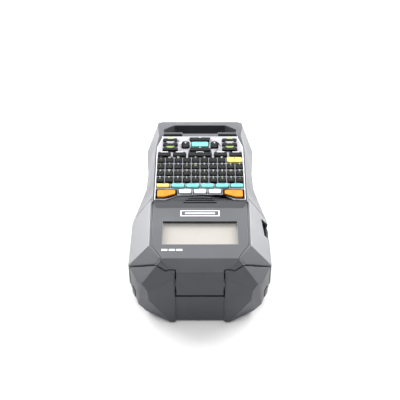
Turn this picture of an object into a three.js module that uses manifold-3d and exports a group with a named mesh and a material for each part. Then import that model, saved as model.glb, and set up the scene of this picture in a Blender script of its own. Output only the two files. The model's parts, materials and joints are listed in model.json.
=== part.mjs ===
// A hand-held label maker lying on its back: a faceted head with the display, the print engine and a
// hinged cassette door, a grip with the keypad and the battery bay, and a carrying loop at the far end.
// Millimetres. +Z is up, +Y points to the head where the label comes out, and the origin is on the
// surface the label maker lies on, under its middle.
import * as THREE from "three";
import { mergeVertices } from "three/addons/utils/BufferGeometryUtils.js";
import Module from "manifold-3d";

const wasm = await Module();
wasm.setup();

// ---- driving dimensions ----
const WALL = 2.4; // casing wall
const SEAM = 0.35; // gap between casing parts that are screwed together
const DOOR_GAP = 1.35; // open seam all round the cassette door
const RUNNING = 0.1; // radial clearance of a shaft in its hole
const RIM_Z = 52.4; // top of the grip's casing, where the keypad bezel lies
const BEZEL = { under: 52.7, top: 54.2 };
const KEY = { flange: 50.8, shoulder: 55.3, top: 57.1, travel: 1, play: 0.2, lip: 0.38 };
const COLUMN_PITCH = 8; // character keys, side to side
const ROW_PITCH = 8.9; // character keys, along the grip
const PARTING_Z = 26; // where the upper and lower casings meet
const FLOOR_Z = 1.2; // underside of the casing, held up by the rubber feet
const SLOT_Z = 31.5; // middle of the label exit slot
const PLATEN = { y: 94, z: 25.5, radius: 6, half: 19.5 };
const GEAR_MODULE = 0.8;
const GEAR_TEETH = { platen: 20, idler: 26, pinion: 12 };
const DOOR_HINGE = { y: 33.4, z: 3.6, barrel: 2.4, pin: 1.2, half: 33 };
const BATTERY_HINGE = { y: -70, z: 3.6, barrel: 2.4, pin: 1.2, half: 20 };
const BATTERY_DOOR = { half: 24.5, front: 24 };
const LOOP = { nearY: -79, farY: -98, nearHalf: 35, farHalf: 28.5 }; // finger opening of the carrying loop
const DISPLAY = { halfWidth: 31.7, length: 31, centreY: 58.6 }; // visible window in the deck

// ---- materials ----
const finish = (color, roughness, metalness = 0) =>
  new THREE.MeshStandardMaterial({ color, roughness, metalness });
const CHARCOAL = finish(0x4c4e54, 0.5);
const RUBBER = finish(0x26272b, 0.8);
const SILVER = finish(0xd8d8de, 0.35, 0.2);
const TEAL = finish(0x35d6be, 0.5);
const YELLOW = finish(0xf3ea52, 0.5);
const ORANGE = finish(0xf7a11b, 0.5);
const WHITE = finish(0xf2f2f4, 0.5);
const STEEL = finish(0xb5b8bd, 0.35, 0.9);
const BOARD = finish(0x1d5a37, 0.6);
const LCD = finish(0xe9e4da, 0.4);
const GLASS = finish(0xf4f2ec, 0.08);
const PAPER = finish(0xf6f5f1, 0.8);
const RIBBON = finish(0x17171a, 0.4);
const CELL = finish(0x2c6fb0, 0.45);
const NYLON = finish(0xe6e2d6, 0.5);
const DARK = finish(0x33353a, 0.55);

// ---- solids ----
// A closed three.js geometry as a manifold-3d solid.
function solid(geometry) {
  const bare = (geometry.index ? geometry.toNonIndexed() : geometry).clone();
  bare.deleteAttribute("normal");
  bare.deleteAttribute("uv");
  const merged = mergeVertices(bare, 1e-4);
  return new wasm.Manifold(
    new wasm.Mesh({
      numProp: 3,
      vertProperties: merged.attributes.position.array,
      triVerts: new Uint32Array(merged.index.array),
    }),
  );
}

const join = (...solids) => solids.reduce((all, one) => all.add(one));

function box(x0, x1, y0, y1, z0, z1) {
  const g = new THREE.BoxGeometry(x1 - x0, y1 - y0, z1 - z0);
  return solid(g.translate((x0 + x1) / 2, (y0 + y1) / 2, (z0 + z1) / 2));
}

// An outline in plan, extruded upwards.
function prismZ(points, z0, z1) {
  const shape = new THREE.Shape(points.map(([x, y]) => new THREE.Vector2(x, y)));
  const g = new THREE.ExtrudeGeometry(shape, { depth: z1 - z0, bevelEnabled: false });
  return solid(g.translate(0, 0, z0));
}

// An outline in the side view, given as [y, z], extruded along X.
function prismX(points, x0, x1) {
  const shape = new THREE.Shape(points.map(([y, z]) => new THREE.Vector2(y, z)));
  const g = new THREE.ExtrudeGeometry(shape, { depth: x1 - x0, bevelEnabled: false });
  g.applyMatrix4(new THREE.Matrix4().set(0, 0, 1, x0, 1, 0, 0, 0, 0, 1, 0, 0, 0, 0, 0, 1));
  return solid(g);
}

// A round bar along X between x0 and x1, about the line at [y, z].
function barX(radius, x0, x1, y, z, sides = 24) {
  const g = new THREE.CylinderGeometry(radius, radius, x1 - x0, sides);
  return solid(g.rotateZ(Math.PI / 2).translate((x0 + x1) / 2, y, z));
}

function barY(radius, y0, y1, x, z, sides = 24) {
  const g = new THREE.CylinderGeometry(radius, radius, y1 - y0, sides);
  return solid(g.translate(x, (y0 + y1) / 2, z));
}

// A skin over rings of the same number of points, closed by a flat cap at each end.
function loft(rings) {
  const n = rings[0].length;
  const position = rings.flat(2);
  const index = [];
  for (let r = 0; r + 1 < rings.length; r++)
    for (let i = 0; i < n; i++) {
      const a = r * n + i;
      const b = r * n + ((i + 1) % n);
      index.push(a, b, b + n, a, b + n, a + n);
    }
  const last = (rings.length - 1) * n;
  for (let i = 1; i + 1 < n; i++) {
    index.push(0, i + 1, i);
    index.push(last, last + i, last + i + 1);
  }
  const g = new THREE.BufferGeometry();
  g.setAttribute("position", new THREE.Float32BufferAttribute(position, 3));
  g.setIndex(signedVolume(position, index) < 0 ? index.reverse() : index);
  return solid(g);
}

// Positive when the triangles face outwards.
function signedVolume(position, index) {
  const corner = (i) => new THREE.Vector3().fromArray(position, 3 * index[i]);
  let volume = 0;
  for (let i = 0; i < index.length; i += 3) volume += corner(i).dot(corner(i + 1).cross(corner(i + 2))) / 6;
  return volume;
}

// A polygon in plan raised from z0 to z1, whose sides lean in by `draft` at the top.
function taperZ(points, z0, z1, draft) {
  const [cx, cy] = middle(points);
  const hx = Math.max(...points.map(([x]) => Math.abs(x - cx)));
  const hy = Math.max(...points.map(([, y]) => Math.abs(y - cy)));
  const top = points.map(([x, y]) => [cx + (x - cx) * (1 - draft / hx), cy + (y - cy) * (1 - draft / hy), z1]);
  return loft([points.map(([x, y]) => [x, y, z0]), top]);
}

function middle(points) {
  const xs = points.map(([x]) => x);
  const ys = points.map(([, y]) => y);
  return [(Math.min(...xs) + Math.max(...xs)) / 2, (Math.min(...ys) + Math.max(...ys)) / 2];
}

const rectangle = (x0, x1, y0, y1) => [[x0, y0], [x1, y0], [x1, y1], [x0, y1]];
const mirrored = (points) => points.map(([x, ...rest]) => [-x, ...rest]).reverse();

// Removes what lies beyond the plane through three points. `inside` is any point of the part that stays,
// and `inset` moves the plane towards it.
function trim(body, [p, q, r], inside, inset = 0) {
  const a = new THREE.Vector3(...p);
  const normal = new THREE.Vector3(...q).sub(a).cross(new THREE.Vector3(...r).sub(a)).normalize();
  if (normal.dot(new THREE.Vector3(...inside).sub(a)) > 0) normal.negate();
  const reach = 600;
  const turn = new THREE.Quaternion().setFromUnitVectors(new THREE.Vector3(0, 0, 1), normal);
  const g = new THREE.BoxGeometry(reach, reach, reach).translate(0, 0, reach / 2);
  g.applyQuaternion(turn);
  const at = a.addScaledVector(normal, -inset);
  return body.subtract(solid(g.translate(at.x, at.y, at.z)));
}

// ---- outer form ----
// Corners of the head's facets on its +X side.
const DECK_NEAR = [0, 14, 50.5];
const DECK_FRONT = [0, 92.5, 62];
const BEVEL_FOOT = [0, 103, 56];
const DECK_SIDE = [43.8, 14, 50.5];
const CORNER_BACK = [42.5, 75.5, 59.5];
const CORNER_FRONT = [32.2, 92.5, 62];
const CORNER_LOW = [59.2, 81, 38];
const CHEEK_TOP = [38.8, 95, 55];
const CHEEK_OUT = [52, 96.8, 40];
const CHEEK_LOW = [43.2, 106, 36.4];
const CHEEK_IN = [23.5, 106.4, 50.4];
const BROW = [23, 107.9, 34.6];
const TOE = [24.2, 110.07, 0];
const SHOULDER_TOP = [43.6, 11.4, 51];
const SHOULDER_LOW = [59.4, 18.2, 32];
const SHOULDER_BACK = [53.3, -8, 30];
const SHOULDER_FOOT = [47.5, -9, 2];
const HEAD_MIDDLE = [0, 60, 25];
const SIDE_X = 60.6;

const along = ([x, y, z]) => [x + 10, y, z];
const down = ([x, y, z]) => [x, y, z - 10];

function headForm(inset = 0) {
  let body = box(-SIDE_X + inset, SIDE_X - inset, -10, 120, FLOOR_Z + inset, 70);
  const cut = (points) => {
    body = trim(body, points, HEAD_MIDDLE, inset);
  };
  const cutBoth = (points) => {
    cut(points);
    cut(mirrored(points));
  };
  cut([DECK_NEAR, along(DECK_NEAR), DECK_FRONT]);
  cut([DECK_FRONT, along(DECK_FRONT), BEVEL_FOOT]);
  cutBoth([DECK_SIDE, CORNER_BACK, SHOULDER_LOW]);
  cutBoth([CORNER_BACK, CORNER_FRONT, CORNER_LOW]);
  cutBoth([CHEEK_TOP, CHEEK_LOW, CHEEK_IN]);
  cutBoth([CHEEK_IN, CHEEK_LOW, BROW]);
  cutBoth([BROW, [42.8, 106.1, 33], TOE]);
  cutBoth([CHEEK_LOW, CHEEK_OUT, down(CHEEK_LOW)]);
  cutBoth([CHEEK_OUT, CORNER_LOW, down(CHEEK_OUT)]);
  cutBoth([TOE, [42.5, 105, 20], [50.5, 96, 5]]);
  cutBoth([[SIDE_X, 0, 16], [SIDE_X, 50, 16], [46, 50, 1]]);
  cutBoth([SHOULDER_TOP, SHOULDER_LOW, SHOULDER_BACK]);
  cutBoth([SHOULDER_LOW, SHOULDER_BACK, SHOULDER_FOOT]);
  return body.subtract(noseRecess(inset));
}

// The shallow recess down the middle of the nose, between the two cheeks.
function noseRecess(inset) {
  const ring = (z, y) => {
    const near = 19.6 + inset;
    const far = near + (125 - y) * 0.9;
    return [[-near, y - inset, z], [near, y - inset, z], [far, 125, z], [-far, 125, z]];
  };
  return loft([ring(-1, 108), ring(31, 107), ring(56, 103), ring(72, 100.4)]);
}

// Half sections of the grip and the loop, bottom to top on the +X side.
const GRIP_SECTIONS = [
  [[36, 16, 2], [46, 16, 9], [50, 16.3, 30], [42, 16, RIM_Z]],
  [[37, -8, FLOOR_Z], [49, -8, 9], [53.2, -8, 30], [42, -8, RIM_Z]],
  [[36, -25, FLOOR_Z], [46.5, -25, 9], [50, -25, 28], [42, -25, RIM_Z]],
  [[36, -48, FLOOR_Z], [46, -48, 9], [49.4, -48, 27], [42, -48, RIM_Z]],
  [[36, -58, FLOOR_Z], [46.5, -60, 9], [50.4, -60, 27], [41.6, -57, RIM_Z]],
  [[36, -76, FLOOR_Z], [46.6, -79, 9], [51.6, -80, 27], [39.2, -74, RIM_Z]],
  [[33, -96, 9], [42, -97, 15], [46.2, -97, 33], [41.4, -94.5, 46.6]],
  [[32, -105.4, 13], [39.8, -105.8, 18], [44, -105.8, 33.5], [41, -104.8, 43.6]],
  [[29, -109, 16], [35.8, -110, 20], [39.4, -110, 32.5], [37.2, -109.4, 41]],
];

function gripForm(inset = 0) {
  const last = GRIP_SECTIONS.length - 1;
  const ring = (section, i) => {
    const shiftY = i === 0 ? -inset : i === last ? inset * 0.9 : i === last - 1 ? inset * 0.4 : 0;
    const moved = section.map(([x, y, z], k) => [
      x - inset * (k === 3 ? 0.8 : 1.05),
      y + shiftY,
      z + inset * [1, 0.7, 0, -1][k],
    ]);
    return [...moved, ...mirrored(moved)];
  };
  return loft(GRIP_SECTIONS.map(ring));
}

// Plan of the finger opening inside the carrying loop.
const loopOutline = (grow) => [
  [-LOOP.nearHalf - grow, LOOP.nearY - 9],
  [-LOOP.farHalf - grow, LOOP.farY + 3],
  [-LOOP.farHalf + 4 - grow * 0.4, LOOP.farY - grow],
  [LOOP.farHalf - 4 + grow * 0.4, LOOP.farY - grow],
  [LOOP.farHalf + grow, LOOP.farY + 3],
  [LOOP.nearHalf + grow, LOOP.nearY - 9],
  [LOOP.nearHalf + grow, LOOP.nearY - 4],
  [LOOP.nearHalf - 4 + grow * 0.4, LOOP.nearY + grow],
  [-LOOP.nearHalf + 4 - grow * 0.4, LOOP.nearY + grow],
  [-LOOP.nearHalf - grow, LOOP.nearY - 4],
];

// ---- keypad layout ----
// Outline of the bezel on its +X side, from its head end round to its far end.
const BEZEL_HALF = [[20.5, 10.3], [30.6, 16], [40.8, 16], [40.8, -56], [36.4, -70], [36.4, -72]];
function bezelOutline(grow) {
  const half = BEZEL_HALF.map(([x, y]) => [x + grow, y + (y > 0 ? grow : y < -60 ? -grow : 0)]);
  return [...half, ...mirrored(half)];
}

const padKey = (name, material, x, y, width, length) => ({
  name,
  material,
  outline: rectangle(x - width / 2, x + width / 2, y - length / 2, y + length / 2),
});

const ROW_ONE_Y = -36.7; // the character row furthest from the display
const CHARACTER_KEYS = [];
for (let row = 0; row < 4; row++)
  for (let column = row === 0 ? 2 : 0; column < 10; column++)
    CHARACTER_KEYS.push(padKey("", RUBBER, (column - 4.5) * COLUMN_PITCH, ROW_ONE_Y + row * ROW_PITCH, 7, 7.4));

// Keys that are caps of their own, with their centres and sizes in plan.
const ARROW_OUTLINE = [[9.9, -61.6], [11, -62.8], [16.1, -62.8], [17.2, -61.6], [17.2, -54.4], [16.1, -53.2], [11.8, -53.2], [9.9, -55.2]].reverse();
const PRINT_OUTLINE = [[21.4, 4], [38.4, 4], [38.4, 13.2], [31.6, 13.2], [21.4, 8.8]];
const COLLAR_OUTLINE = [[20.3, 2.9], [39.5, 2.9], [39.5, 14.3], [31.3, 14.3], [20.3, 9.5]];
const CAP_KEYS = [
  padKey("shift_key", YELLOW, -31.8, ROW_ONE_Y, 14.5, 7.4),
  padKey("backspace_key", YELLOW, 33.1, -2, 12.1, 5),
  padKey("edit_key", TEAL, 19.9, -2, 12.2, 5),
  padKey("size_key", TEAL, 6.6, -2, 12.2, 5),
  padKey("style_key", TEAL, -6.7, -2, 12.2, 5),
  padKey("layout_key", TEAL, -20, -2, 12.2, 5),
  padKey("file_key", TEAL, -33.15, -2, 11.9, 5),
  padKey("undo_key", WHITE, 13.2, 5.7, 12, 5.9),
  padKey("preview_key", WHITE, 0, 5.7, 12, 5.9),
  padKey("settings_key", WHITE, -13.2, 5.7, 12, 5.9),
  padKey("symbol_key", RUBBER, 33.2, -44.6, 11.8, 6.2),
  padKey("accent_key", RUBBER, 19, -44.6, 12, 6.2),
  padKey("space_key", RUBBER, 0, -44.6, 21.6, 6.2),
  padKey("capitals_key", RUBBER, -19, -44.6, 12, 6.2),
  padKey("function_key", RUBBER, -33.2, -44.6, 11.8, 6.2),
  ...[-64.8, -58.5, -52.1].flatMap((y, i) => [
    padKey(`right_menu_key_${i + 1}`, RUBBER, 27.8, y, 14, 4.9),
    padKey(`left_menu_key_${i + 1}`, RUBBER, -27.8, y, 14, 4.9),
  ]),
  padKey("select_key", TEAL, 0, -58.5, 16.2, 7.2),
  { name: "up_key", material: RUBBER, outline: [[-9.1, -53.9], [9.1, -53.9], [10.6, -48.8], [-10.6, -48.8]] },
  { name: "down_key", material: RUBBER, outline: [[-10.6, -68.7], [10.6, -68.7], [9.1, -63.2], [-9.1, -63.2]] },
  { name: "right_key", material: RUBBER, outline: ARROW_OUTLINE },
  { name: "left_key", material: RUBBER, outline: mirrored(ARROW_OUTLINE) },
  { name: "right_print_key", material: ORANGE, outline: PRINT_OUTLINE },
  { name: "left_print_key", material: ORANGE, outline: mirrored(PRINT_OUTLINE) },
];

// A convex outline moved outwards on every side.
function grown(outline, by) {
  const [cx, cy] = middle(outline);
  return outline.map(([x, y]) => [x + Math.sign(x - cx) * by, y + Math.sign(y - cy) * by]);
}

function keypadBezel() {
  let plate = prismZ(bezelOutline(-0.5), BEZEL.under, BEZEL.top - 0.5).add(
    taperZ(bezelOutline(-0.5), BEZEL.top - 0.5, BEZEL.top, 0.5),
  );
  for (const key of [...CHARACTER_KEYS, ...CAP_KEYS.filter(({ name }) => !name.includes("print"))])
    plate = plate.subtract(prismZ(grown(key.outline, KEY.play), 50, 60));
  for (const outline of [COLLAR_OUTLINE, mirrored(COLLAR_OUTLINE)])
    plate = plate.subtract(prismZ(grown(outline, 0.25), 50, 60));
  return plate;
}

function keyCap({ outline }) {
  return join(
    prismZ(grown(outline, KEY.lip), KEY.flange, KEY.flange + 1.1),
    prismZ(outline, KEY.flange, KEY.shoulder),
    taperZ(outline, KEY.shoulder, KEY.top, 0.55),
  );
}

function keypadMat() {
  let mat = prismZ(bezelOutline(-2.6), 48.1, 49.2);
  for (const { outline } of CHARACTER_KEYS)
    mat = mat.add(prismZ(outline, 49, KEY.shoulder)).add(taperZ(outline, KEY.shoulder, KEY.top, 0.55));
  for (const mirror of [(p) => p, mirrored]) {
    const ring = prismZ(mirror(COLLAR_OUTLINE), 49, BEZEL.top + 0.6);
    mat = mat.add(ring.subtract(prismZ(grown(mirror(PRINT_OUTLINE), 0.5), 49.2, 60)));
  }
  return mat;
}

// ---- casing ----
const LOOP_HOLE = prismZ(loopOutline(0), -5, 70);
const OUTER = headForm().add(gripForm()).subtract(LOOP_HOLE);
const INNER = headForm(WALL).add(gripForm(WALL)).subtract(prismZ(loopOutline(WALL), -5, 70));
const SHELL = OUTER.subtract(INNER);

// Plan of the part of the nose that the cassette door takes with it, on the +X side.
const CHEEK_PLAN = [[75, 81], [59.2, 81], [38.2, 94], [28, 100.6], [20.4, 101.2], [20.4, 125], [75, 125]];

// The space of the casing that belongs to the cassette door. `gap` widens it into the opening it closes.
function doorSpace(gap = 0) {
  const cheek = CHEEK_PLAN.map(([x, y]) => [x, y - (y < 120 ? gap : 0)]);
  return join(
    prismZ(cheek, -5, 70),
    prismZ(mirrored(cheek), -5, 70),
    box(-30, 30, 97 - gap, 125, -5, SLOT_Z - 0.9),
    box(-70, 70, 81 - gap, 99, -5, 9),
    box(-38 - gap, 38 + gap, 36.6 - gap, 90, -5, 9),
  );
}

const HINGE_CUT = box(-DOOR_HINGE.half - 0.4, DOOR_HINGE.half + 0.4, DOOR_HINGE.y - 3.5, 37, -5, 9);

// Plan of the deck moulding on its +X side.
const PANEL_PLAN = [
  [20.6, 11.2], [30.5, 16.9], [41.1, 16.9], [40.5, 73.5], [31.4, 91.6], [37.2, 94], [27.9, 100],
  [19.6, 100.6], [19.3, 125],
];
function panelOutline(grow = 0) {
  const half = PANEL_PLAN.map(([x, y], i) => [x + grow, y - (i < 3 ? grow : 0)]);
  return [...half, ...mirrored(half)];
}

const deckZ = (y) => 50.5 + ((y - 14) * 11.5) / 78.5;

// A plate parallel to the sloping deck, whose upper face is `depth` under it.
function deckPlate(half, y0, y1, depth, thick) {
  const at = (y, d) => [y, deckZ(y) - d];
  return prismX([at(y0, depth + thick), at(y1, depth + thick), at(y1, depth), at(y0, depth)], -half, half);
}

const windowStart = DISPLAY.centreY - DISPLAY.length / 2;
const windowEnd = DISPLAY.centreY + DISPLAY.length / 2;

// The deck, the bevel in front of it and the tongue over the label slot, in one moulding, with the sill that
// leads up to the keypad and the ramp of three finger grooves in its middle.
function deckPanel() {
  const grip = prismZ(bezelOutline(0.45), 40, 70);
  const ramp = prismX([[9, 47.5], [25, 49.6], [25, deckZ(25) - 0.1], [23.6, deckZ(23.6)], [11.6, 53.7], [9, 53.7]], -30, 30);
  const rampPlan = prismZ([[-20.6, 11.2], [20.6, 11.2], [29.6, 16.4], [27.6, 26], [-27.6, 26], [-29.6, 16.4]], 40, 70);
  const sill = prismX([[15, 48.8], [25, 50], [25, deckZ(25) - 0.1], [23.6, deckZ(23.6)], [17.4, 53.6], [15, 53.6]], -41, 41);
  const sillPlan = prismZ([[-41, 15], [41, 15], [41, 17.4], [37.4, 25.2], [-37.4, 25.2], [-41, 17.4]], 40, 70);
  const outline = prismZ(panelOutline(), SLOT_Z + 0.9, 70);
  let body = SHELL.intersect(outline)
    .add(ramp.intersect(rampPlan))
    .add(sill.intersect(sillPlan).intersect(outline))
    .subtract(grip);
  for (const [i, y] of [13.4, 15.9, 18.4].entries()) {
    const half = 10.8 + i * 1.9;
    body = body.subtract(box(-half, half, y - 0.5, y + 0.5, 52.4 - i * 0.25, 60));
  }
  return body
    .subtract(deckPlate(DISPLAY.halfWidth + 0.1, windowStart - 0.1, windowEnd + 0.1, -3, 12))
    .subtract(deckPlate(DISPLAY.halfWidth + 2, windowStart - 1.6, windowEnd + 1.6, 1.1, 8));
}

// Plan of the head in front of the flared seam, moved along Y by `shift`.
const headPlan = (shift) => prismZ([[-75, 24.9], [0, -7.4], [75, 24.9], [75, 130], [-75, 130]].map(([x, y]) => [x, y + shift]), -5, 75);

const ABOVE_PARTING = box(-80, 80, -120, 130, PARTING_Z + SEAM / 2, 80);
const BELOW_PARTING = box(-80, 80, -120, 130, -10, PARTING_Z - SEAM / 2);
const KEYPAD_OPENING = prismZ(bezelOutline(-1.2), 46, 70);
const PORT = { y0: 24.2, y1: 44.8, z0: 27.4, z1: 39, face: 52.6 };

// Flanks of the head, joined by a frame under the deck.
function headShell() {
  let walls = SHELL.intersect(headPlan(SEAM / 2)).intersect(ABOVE_PARTING);
  walls = walls.subtract(prismZ(panelOutline(SEAM), SLOT_Z, 70)).subtract(box(-21, 21, 96, 125, 20, 70));
  const frame = deckPlate(46, 20, 90, WALL + 0.7, 2.2).subtract(deckPlate(36.5, 33, 79, 0, 20));
  walls = walls.add(frame.intersect(headForm(0.9)));
  walls = walls.subtract(box(-70, -45, PORT.y0, PORT.y1, PORT.z0, PORT.z1));
  return walls.subtract(doorSpace(DOOR_GAP)).subtract(KEYPAD_OPENING);
}

function gripShell() {
  const lip = (x0, x1) => box(x0, x1, -76.6, -73.6, 49, 54.8);
  return SHELL.add(join(lip(17, 35), lip(-35, -17)))
    .subtract(headPlan(-SEAM / 2))
    .intersect(ABOVE_PARTING)
    .subtract(KEYPAD_OPENING);
}

function lowerCasing() {
  const d = DOOR_HINGE;
  const b = BATTERY_HINGE;
  const lug = (x) => box(x, x + 3, d.y - 4, d.y + 2, 1.6, 6.4);
  const batteryLug = (x) => box(x, x + 3, b.y - 4, b.y + 2, 1.6, 6.4);
  const base = SHELL.intersect(BELOW_PARTING)
    .subtract(doorSpace(DOOR_GAP))
    .subtract(HINGE_CUT)
    .subtract(box(-BATTERY_DOOR.half - 0.5, BATTERY_DOOR.half + 0.5, b.y + 0.3, BATTERY_DOOR.front + 0.5, -5, 9))
    .subtract(box(-b.half - 0.4, b.half + 0.4, b.y - 3.5, b.y + 3, -5, 9));
  return base
    .add(join(lug(d.half + 0.4), lug(-d.half - 3.4), batteryLug(b.half + 0.4), batteryLug(-b.half - 3.4)))
    .subtract(barX(d.pin + RUNNING, -38, 38, d.y, d.z))
    .subtract(barX(b.pin + RUNNING, -26, 26, b.y, b.z))
    .subtract(footPrism(0.35, -1, 1.5))
    .subtract(footPrism(0.35, -1, 1.5, true));
}

const FOOT_PLAN = [[31.5, -62], [33.6, 11], [44.4, 25], [44.8, 76], [41.6, 76], [41.2, 27], [30.4, 12.6], [28.5, -62]];
function footPrism(grow, z0, z1, mirror = false) {
  const plan = FOOT_PLAN.map(([x, y], i) => [x + (i < 4 ? grow : -grow), y + (Math.abs(y) > 60 ? Math.sign(y) * grow : 0)]);
  return prismZ(mirror ? mirrored(plan) : plan, z0, z1);
}

const LATCH = { y0: 85.4, y1: 90.8, z0: 11.6, z1: 19.4, inner: 49.3 };

function cassetteDoor() {
  const d = DOOR_HINGE;
  const skin = SHELL.intersect(doorSpace());
  const barrel = barX(d.barrel, -d.half, d.half, d.y, d.z).add(box(-d.half, d.half, d.y, 38, FLOOR_Z, d.z));
  const latchHole = (s) => box(Math.min(s * 44, s * 70), Math.max(s * 44, s * 70), LATCH.y0 - 0.4, LATCH.y1 + 0.4, LATCH.z0 - 0.4, LATCH.z1 + 0.4);
  return skin
    .add(barrel)
    .subtract(barX(d.pin + RUNNING, -40, 40, d.y, d.z))
    .subtract(latchHole(1))
    .subtract(latchHole(-1));
}

// Release button in a side of the cassette door: proud of the facet by a little, with a flange behind the wall.
function doorLatch() {
  const x1 = 70;
  const button = box(LATCH.inner, x1, LATCH.y0, LATCH.y1, LATCH.z0, LATCH.z1).intersect(headForm(-0.7));
  return button.add(box(LATCH.inner, LATCH.inner + 1.4, LATCH.y0 + 0.4, LATCH.y1 + 1.2, LATCH.z0 - 1.4, LATCH.z1 + 1.4));
}

function batteryDoor() {
  const b = BATTERY_HINGE;
  const plate = box(-BATTERY_DOOR.half, BATTERY_DOOR.half, b.y + 3.3, BATTERY_DOOR.front, FLOOR_Z, FLOOR_Z + WALL);
  const neck = box(-b.half, b.half, b.y, b.y + 4, FLOOR_Z, b.z);
  const stub = barX(b.pin, -b.half - 3, b.half + 3, b.y, b.z);
  const tongue = box(-5, 5, BATTERY_DOOR.front - 1.6, BATTERY_DOOR.front, FLOOR_Z + WALL - 0.2, 8.4);
  return join(plate, neck, barX(b.barrel, -b.half, b.half, b.y, b.z), stub, tongue).subtract(
    box(-7, 7, BATTERY_DOOR.front - 5.2, BATTERY_DOOR.front - 3.2, 0, FLOOR_Z + 0.8),
  );
}

// ---- inside ----
function gear(teeth, y, z, x0, x1, bore, phase = 0) {
  const pitch = (GEAR_MODULE * teeth) / 2;
  const points = [];
  for (let i = 0; i < teeth; i++)
    for (const [offset, radius] of [[-0.32, pitch - 1], [-0.16, pitch + 0.6], [0.16, pitch + 0.6], [0.32, pitch - 1]]) {
      const a = ((i + offset) / teeth) * 2 * Math.PI + phase;
      points.push([y + radius * Math.cos(a), z + radius * Math.sin(a)]);
    }
  return prismX(points, x0, x1).subtract(barX(bore, x0 - 1, x1 + 1, y, z));
}

const gearDistance = (a, b) => (GEAR_MODULE * (a + b)) / 2 + 0.15;
const PINION = { y: 86, z: 11.5 };
const IDLER = meshBoth(PINION, gearDistance(26, 12), PLATEN, gearDistance(20, 26));

// The point at given distances from two others, on the side away from the label slot.
function meshBoth(from, near, to, far) {
  const [dy, dz] = [to.y - from.y, to.z - from.z];
  const d = Math.hypot(dy, dz);
  const t = (near ** 2 - far ** 2 + d ** 2) / (2 * d);
  const h = Math.sqrt(near ** 2 - t ** 2);
  return { y: from.y + (t * dy - h * dz) / d, z: from.z + (t * dz + h * dy) / d };
}

// Turns a gear so that one of its gaps faces a tooth of its neighbour.
function meshPhase(teeth, own, other, otherTeeth, otherPhase) {
  const toOwn = Math.atan2(own.z - other.z, own.y - other.y);
  const otherSteps = ((toOwn - otherPhase) / (2 * Math.PI)) * otherTeeth;
  const fraction = otherSteps - Math.floor(otherSteps);
  return toOwn + Math.PI + ((fraction + 0.5) / teeth) * 2 * Math.PI;
}

const idlerPhase = meshPhase(GEAR_TEETH.idler, IDLER, PLATEN, GEAR_TEETH.platen, 0);
const pinionPhase = meshPhase(GEAR_TEETH.pinion, PINION, IDLER, GEAR_TEETH.idler, idlerPhase);
const GEAR_X = [27.2, 30.2];
const FRAME_X = [23.4, 24.9];
const MOTOR = { radius: 7.5, x0: 3, x1: 23 };

function engineFrame() {
  const side = (x0, x1) => prismX([[71, 7], [95, 7], [99.6, 16], [99.6, 44], [84, 44], [78, 36], [67, 30], [67, 14]], x0, x1);
  const [near, far] = FRAME_X;
  return join(side(near, far), side(-far, -near), box(-24, 24, 84, 99.6, 42.6, 44))
    .subtract(barX(2 + RUNNING, -30, 30, PLATEN.y, PLATEN.z))
    .subtract(barX(1.5 + RUNNING, 0, 30, IDLER.y, IDLER.z))
    .subtract(barX(1.5 + RUNNING, 0, 30, PINION.y, PINION.z));
}

const platenRoller = () =>
  join(
    barX(PLATEN.radius, -PLATEN.half, PLATEN.half, PLATEN.y, PLATEN.z, 32),
    barX(2, -26.4, GEAR_X[1] + 0.6, PLATEN.y, PLATEN.z),
  );

const idlerGear = () =>
  gear(GEAR_TEETH.idler, IDLER.y, IDLER.z, ...GEAR_X, 0.4, idlerPhase).add(barX(1.5, 22.6, GEAR_X[1] + 0.6, IDLER.y, IDLER.z));

const motorPinion = () =>
  gear(GEAR_TEETH.pinion, PINION.y, PINION.z, ...GEAR_X, 0.4, pinionPhase).add(
    barX(1.5, 22.6, GEAR_X[1] + 0.6, PINION.y, PINION.z),
  );

const stepperMotor = () =>
  join(
    barX(MOTOR.radius, -8, 22.2, PINION.y, PINION.z, 28),
    box(20.6, 22.2, PINION.y - 9, PINION.y + 9, PINION.z - 3, PINION.z + 3),
  );

function printHead() {
  const bar = box(-20.5, 20.5, PLATEN.y - 3, PLATEN.y + 3.4, 32.3, 34);
  const sink = box(-20.5, 20.5, PLATEN.y - 5, PLATEN.y + 4.4, 34, 41.6);
  let fins = sink;
  for (const x of [-15, -9, -3, 3, 9, 15]) fins = fins.subtract(box(x - 1, x + 1, PLATEN.y - 6, PLATEN.y + 6, 36.4, 42));
  return fins.add(bar);
}

const cutterBlade = () =>
  prismX([[101.3, 33.2], [102.3, 34.4], [102.3, 43.4], [101.3, 43.4]], -20, 20);

const CASSETTE = { x: 21.5, y0: 40.5, y1: 76, z0: 6.6, z1: 46 };
const ROLL = { y: 64, z: 24.4, radius: 10.6 };
const SUPPLY = { y: 49.4, z: 37.4, radius: 5.6 };
const TAKEUP = { y: 48.6, z: 15.4, radius: 6 };

function cassetteCase() {
  const { x, y0, y1, z0, z1 } = CASSETTE;
  const outline = [[y0, z0], [y1 - 9, z0], [y1, z0 + 9], [y1, z1 - 3], [y1 - 4, z1], [y0 + 4, z1], [y0, z1 - 4]];
  const cavity = [[y0 + 1.4, z0 + 1.4], [y1 - 9.6, z0 + 1.4], [y1 - 1.4, z0 + 9.6], [y1 - 1.4, z1 - 3.6], [y1 - 4.6, z1 - 1.4], [y0 + 4.6, z1 - 1.4], [y0 + 1.4, z1 - 4.6]];
  return prismX(outline, -x, x)
    .subtract(prismX(cavity, -x + 1.4, x - 1.4))
    .subtract(box(-19, 19, y1 - 5, y1 + 1, 28, 36))
    .subtract(box(-15, 15, 50, 62, z0 - 1, z0 + 3))
    .subtract(barX(2.6, -x - 1, x + 1, ROLL.y, ROLL.z))
    .subtract(barX(2.6, -x - 1, x + 1, SUPPLY.y, SUPPLY.z))
    .subtract(barX(2.6, -x - 1, x + 1, TAKEUP.y, TAKEUP.z));
}

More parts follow.
